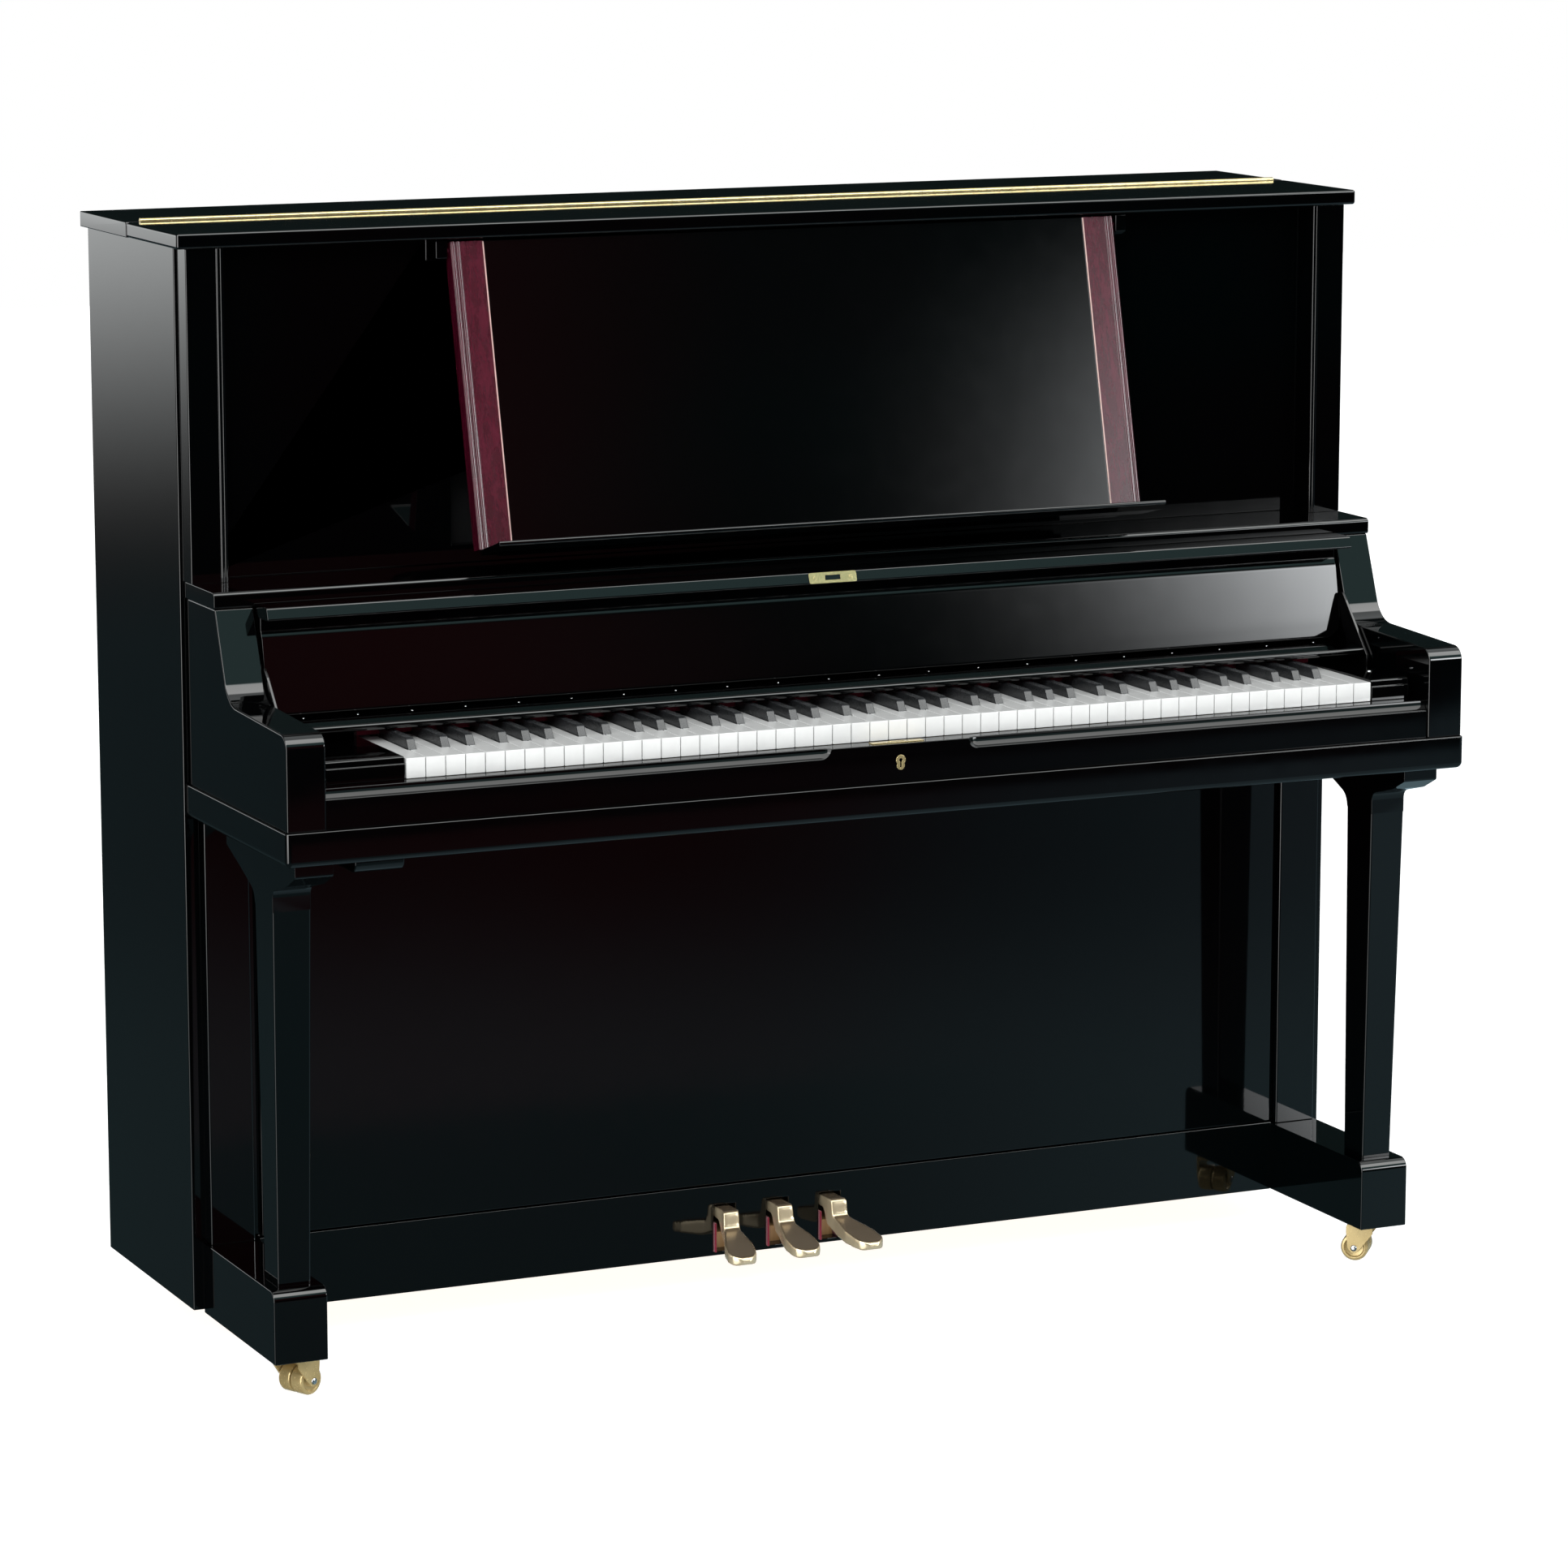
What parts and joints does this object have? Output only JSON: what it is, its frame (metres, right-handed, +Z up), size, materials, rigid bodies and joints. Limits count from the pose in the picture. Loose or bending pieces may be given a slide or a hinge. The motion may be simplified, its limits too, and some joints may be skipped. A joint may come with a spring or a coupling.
{
  "type": "upright piano",
  "caption": "Full-size upright piano in gloss black with a hinged lid, leaning music desk, swinging fallboard, keyboard, brass pedals and twin-wheel casters.",
  "frame": {"origin": "on the floor, under the middle of the whole piano", "axes": "+X to the player's right, +Y from the keyboard to the back, +Z up"},
  "size_m": [1.52, 0.65, 1.31],
  "materials": {
    "black_polyester": "high-gloss black polyester over wood",
    "mahogany": "gloss mahogany stained burgundy",
    "brass": "polished",
    "white_key": "gloss acrylic key covers",
    "black_key": "satin phenolic key covers",
    "felt": "burgundy felt",
    "frame_wood": "clear-lacquered softwood",
    "spruce": "satin-lacquered spruce",
    "cast_iron": "bronze-painted casting",
    "steel": "bright steel",
    "hammer_felt": "pressed wool felt on wood",
    "black_metal": "satin black paint"
  },
  "bodies": {
    "piano_case": {"action_frame": "frame_wood", "back_frame": "frame_wood", "bottom_board": "frame_wood", "bottom_rail": "black_polyester", "hammers": "hammer_felt", "iron_plate": "cast_iron", "key_blocks": "black_polyester", "key_felt": "felt", "key_frame": "frame_wood", "keybed": "black_polyester", "keybed_box": "black_polyester", "keyslip": "black_polyester", "keyslip_lock": "brass", "left_cheek": "black_polyester", "left_side_panel": "black_polyester", "legs": "black_polyester", "lid_hinge_rear_leaf": "brass", "lower_front_panel": "black_polyester", "lower_posts": "black_polyester", "nameboard_rail": "black_polyester", "pedal_brackets": "black_metal", "pedal_felts": "felt", "rear_lid": "black_polyester", "right_cheek": "black_polyester", "right_side_panel": "black_polyester", "shelf": "black_polyester", "soundboard": "spruce", "strings": "steel", "toe_blocks": "black_polyester", "tuning_pins": "steel", "upper_front_panel": "black_polyester", "upper_posts": "black_polyester"},
    "front_lid": {"front_lid": "black_polyester", "lid_hinge_front_leaf": "brass"},
    "fallboard": {"fallboard": "black_polyester", "fallboard_strike_plate": "brass", "fallboard_arms": "black_metal"},
    "music_desk": {"music_desk": "black_polyester", "desk_side_strips": "mahogany"},
    "desk_ledge": {"desk_ledge": "black_polyester"},
    "bass_white_keys": {"bass_white_keys": "white_key"},
    "treble_white_keys": {"treble_white_keys": "white_key"},
    "bass_black_keys": {"bass_black_keys": "black_key"},
    "treble_black_keys": {"treble_black_keys": "black_key"},
    "key_middle_c": {"key_middle_c": "white_key"},
    "key_c_sharp": {"key_c_sharp": "black_key"},
    "key_d": {"key_d": "white_key"},
    "key_d_sharp": {"key_d_sharp": "black_key"},
    "key_e": {"key_e": "white_key"},
    "left_pedal": {"left_pedal": "brass"},
    "middle_pedal": {"middle_pedal": "brass"},
    "right_pedal": {"right_pedal": "brass"},
    "front_left_caster_fork": {"front_left_caster_fork": "brass"},
    "front_left_caster_wheels": {"front_left_caster_wheels": "brass"},
    "front_right_caster_fork": {"front_right_caster_fork": "brass"},
    "front_right_caster_wheels": {"front_right_caster_wheels": "brass"},
    "rear_left_caster_fork": {"rear_left_caster_fork": "brass"},
    "rear_left_caster_wheels": {"rear_left_caster_wheels": "brass"},
    "rear_right_caster_fork": {"rear_right_caster_fork": "brass"},
    "rear_right_caster_wheels": {"rear_right_caster_wheels": "brass"}
  },
  "joints": [
    {"name": "lid_hinge", "type": "hinge", "parent": "piano_case", "child": "front_lid", "pos_m": [0, 0.152, 1.3068], "axis": [-1, 0, 0], "range_deg": [0, 180]},
    {"name": "fallboard_hinge", "type": "hinge", "parent": "piano_case", "child": "fallboard", "pos_m": [0, -0.1664, 0.7431], "axis": [1, 0, 0], "range_deg": [0, 110]},
    {"name": "desk_tilt", "type": "hinge", "parent": "piano_case", "child": "music_desk", "pos_m": [0, -0.008, 1.274], "axis": [1, 0, 0], "range_deg": [0, 13.4]},
    {"name": "ledge_fold", "type": "hinge", "parent": "music_desk", "child": "desk_ledge", "pos_m": [0, -0.10058, 0.93934], "axis": [-1, 0, 0], "range_deg": [0, 80]},
    {"name": "bass_white_keys_dip", "type": "hinge", "parent": "piano_case", "child": "bass_white_keys", "pos_m": [0, -0.06, 0.7175], "axis": [1, 0, 0], "range_deg": [0, 2.5], "stiffness_Nm_per_rad": 20.7, "springref_deg": -11.46},
    {"name": "treble_white_keys_dip", "type": "hinge", "parent": "piano_case", "child": "treble_white_keys", "pos_m": [0, -0.06, 0.7175], "axis": [1, 0, 0], "range_deg": [0, 2.5], "stiffness_Nm_per_rad": 23.4, "springref_deg": -11.46},
    {"name": "bass_black_keys_dip", "type": "hinge", "parent": "piano_case", "child": "bass_black_keys", "pos_m": [0, -0.06, 0.7175], "axis": [1, 0, 0], "range_deg": [0, 2.5], "stiffness_Nm_per_rad": 14.4, "springref_deg": -11.46},
    {"name": "treble_black_keys_dip", "type": "hinge", "parent": "piano_case", "child": "treble_black_keys", "pos_m": [0, -0.06, 0.7175], "axis": [1, 0, 0], "range_deg": [0, 2.5], "stiffness_Nm_per_rad": 16.2, "springref_deg": -11.46},
    {"name": "key_middle_c_dip", "type": "hinge", "parent": "piano_case", "child": "key_middle_c", "pos_m": [0, -0.06, 0.7175], "axis": [1, 0, 0], "range_deg": [0, 2.5], "stiffness_Nm_per_rad": 0.9, "springref_deg": -11.46},
    {"name": "key_c_sharp_dip", "type": "hinge", "parent": "piano_case", "child": "key_c_sharp", "pos_m": [0, -0.06, 0.7175], "axis": [1, 0, 0], "range_deg": [0, 2.5], "stiffness_Nm_per_rad": 0.9, "springref_deg": -11.46},
    {"name": "key_d_dip", "type": "hinge", "parent": "piano_case", "child": "key_d", "pos_m": [0, -0.06, 0.7175], "axis": [1, 0, 0], "range_deg": [0, 2.5], "stiffness_Nm_per_rad": 0.9, "springref_deg": -11.46},
    {"name": "key_d_sharp_dip", "type": "hinge", "parent": "piano_case", "child": "key_d_sharp", "pos_m": [0, -0.06, 0.7175], "axis": [1, 0, 0], "range_deg": [0, 2.5], "stiffness_Nm_per_rad": 0.9, "springref_deg": -11.46},
    {"name": "key_e_dip", "type": "hinge", "parent": "piano_case", "child": "key_e", "pos_m": [0, -0.06, 0.7175], "axis": [1, 0, 0], "range_deg": [0, 2.5], "stiffness_Nm_per_rad": 0.9, "springref_deg": -11.46},
    {"name": "left_pedal_press", "type": "hinge", "parent": "piano_case", "child": "left_pedal", "pos_m": [0, 0.075, 0.1], "axis": [1, 0, 0], "range_deg": [0, 6], "stiffness_Nm_per_rad": 12, "springref_deg": -8.59},
    {"name": "middle_pedal_press", "type": "hinge", "parent": "piano_case", "child": "middle_pedal", "pos_m": [0, 0.075, 0.1], "axis": [1, 0, 0], "range_deg": [0, 6], "stiffness_Nm_per_rad": 12, "springref_deg": -8.59},
    {"name": "right_pedal_press", "type": "hinge", "parent": "piano_case", "child": "right_pedal", "pos_m": [0, 0.075, 0.1], "axis": [1, 0, 0], "range_deg": [0, 6], "stiffness_Nm_per_rad": 12, "springref_deg": -8.59},
    {"name": "front_left_swivel", "type": "hinge", "parent": "piano_case", "child": "front_left_caster_fork", "pos_m": [-0.706, -0.194, 0.06], "axis": [0, 0, 1], "continuous": true},
    {"name": "front_left_roll", "type": "hinge", "parent": "front_left_caster_fork", "child": "front_left_caster_wheels", "pos_m": [-0.69342, -0.18786, 0.017], "axis": [0.4384, -0.8988, 0], "continuous": true},
    {"name": "front_right_swivel", "type": "hinge", "parent": "piano_case", "child": "front_right_caster_fork", "pos_m": [0.706, -0.194, 0.06], "axis": [0, 0, 1], "continuous": true},
    {"name": "front_right_roll", "type": "hinge", "parent": "front_right_caster_fork", "child": "front_right_caster_wheels", "pos_m": [0.69527, -0.185, 0.017], "axis": [0.6428, 0.766, 0], "continuous": true},
    {"name": "rear_left_swivel", "type": "hinge", "parent": "piano_case", "child": "rear_left_caster_fork", "pos_m": [-0.64, 0.262, 0.06], "axis": [0, 0, 1], "continuous": true},
    {"name": "rear_left_roll", "type": "hinge", "parent": "rear_left_caster_fork", "child": "rear_left_caster_wheels", "pos_m": [-0.64, 0.276, 0.017], "axis": [1, 0, 0], "continuous": true},
    {"name": "rear_right_swivel", "type": "hinge", "parent": "piano_case", "child": "rear_right_caster_fork", "pos_m": [0.64, 0.262, 0.06], "axis": [0, 0, 1], "continuous": true},
    {"name": "rear_right_roll", "type": "hinge", "parent": "rear_right_caster_fork", "child": "rear_right_caster_wheels", "pos_m": [0.64, 0.276, 0.017], "axis": [1, 0, 0], "continuous": true}
  ]
}
